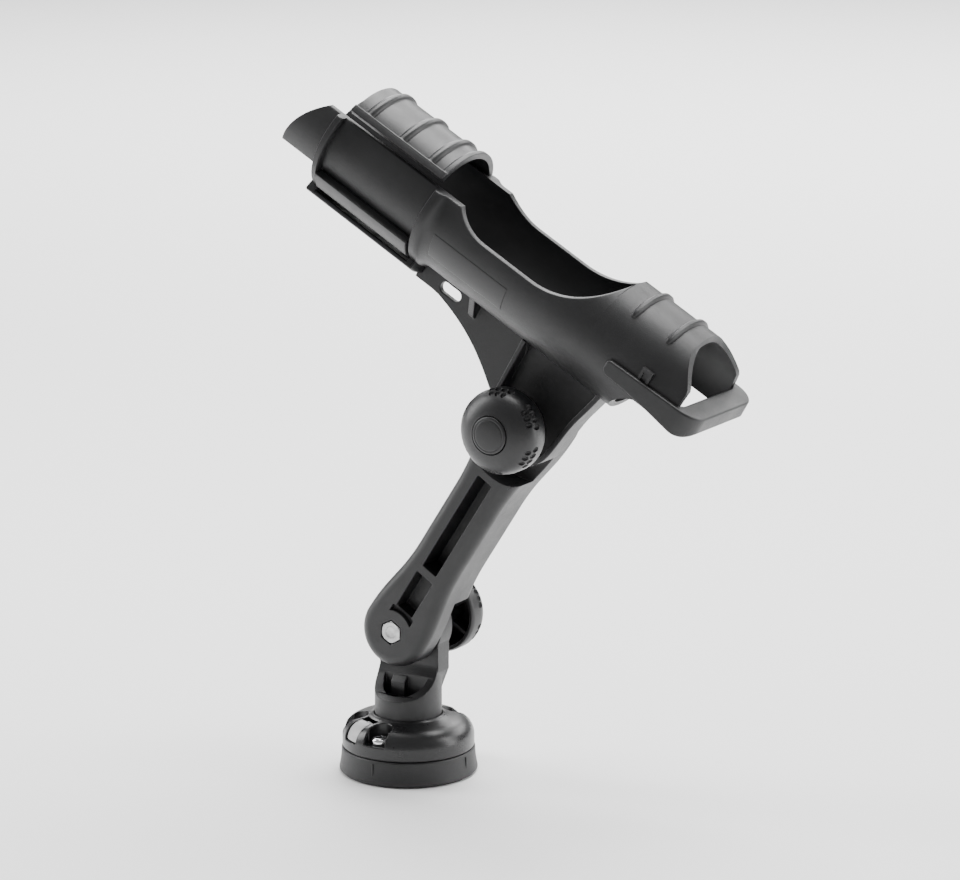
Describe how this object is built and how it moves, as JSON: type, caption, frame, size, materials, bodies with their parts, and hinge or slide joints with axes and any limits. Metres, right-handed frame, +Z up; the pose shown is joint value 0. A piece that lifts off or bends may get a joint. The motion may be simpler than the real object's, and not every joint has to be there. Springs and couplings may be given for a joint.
{
  "type": "fishing rod holder",
  "caption": "Tubular rod cradle with a turning ribbed cover, on a two-pivot clamp arm and a round quick-release deck base.",
  "frame": {"origin": "centre of the underside of the deck plate", "axes": "+Z up off the deck; the arm and cradle swing in the XZ plane, with the rod's tip towards -X and its butt towards +X; both pivots lie along Y"},
  "size_m": [0.2513, 0.1008, 0.3696],
  "materials": {
    "plate": "moulded black, fine texture",
    "housing": "moulded black, satin",
    "body": "moulded black glass-filled nylon, fine texture",
    "cover": "moulded black, satin",
    "knob": "moulded black, satin",
    "button": "moulded light grey",
    "panel": "smooth black",
    "disc": "moulded black",
    "bolt": "satin stainless steel",
    "screw": "polished stainless steel"
  },
  "bodies": {
    "base": {"deck_plate": "plate", "base_housing": "housing", "housing_screw_1": "screw", "housing_screw_2": "screw", "housing_screw_3": "screw", "button_spring": "bolt", "post": "body", "post_face_disc": "disc"},
    "button": {"release_button": "button"},
    "arm": {"arm": "body", "lower_bolt": "bolt", "upper_bolt": "bolt", "lower_washer": "bolt", "upper_washer": "bolt"},
    "lower_knob": {"lower_knob": "knob", "lower_knob_nut": "bolt", "lower_knob_cap": "knob"},
    "upper_knob": {"upper_knob": "knob", "upper_knob_nut": "bolt", "upper_knob_cap": "knob"},
    "cradle": {"cradle_barrel": "body", "cradle_web": "body", "rear_loop": "body", "cradle_face_disc": "disc", "side_panel_near": "panel", "side_panel_far": "panel"},
    "cover": {"locking_cover": "cover"}
  },
  "joints": [
    {"name": "lower_pivot", "type": "hinge", "parent": "base", "child": "arm", "pos_m": [0, 0, 0.08], "axis": [0, 1, 0], "range_deg": [-120, 55]},
    {"name": "upper_pivot", "type": "hinge", "parent": "arm", "child": "cradle", "pos_m": [0.07909, 0, 0.20272], "axis": [0, 1, 0], "range_deg": [-55, 75]},
    {"name": "cover_turn", "type": "hinge", "parent": "cradle", "child": "cover", "pos_m": [-0.00019, 0, 0.3254], "axis": [-0.866, 0, 0.5], "range_deg": [0, 100]},
    {"name": "lower_knob_turn", "type": "hinge", "parent": "arm", "child": "lower_knob", "pos_m": [0, 0.0141, 0.08], "axis": [0, 1, 0], "range_deg": [0, 360]},
    {"name": "upper_knob_turn", "type": "hinge", "parent": "arm", "child": "upper_knob", "pos_m": [0.07909, -0.0111, 0.20272], "axis": [0, -1, 0], "range_deg": [0, 360]},
    {"name": "button_press", "type": "slide", "parent": "base", "child": "button", "axis": [0.515, 0.8572, 0], "range_m": [0, 0.003], "stiffness_N_per_m": 600, "springref_m": -0.003}
  ]
}
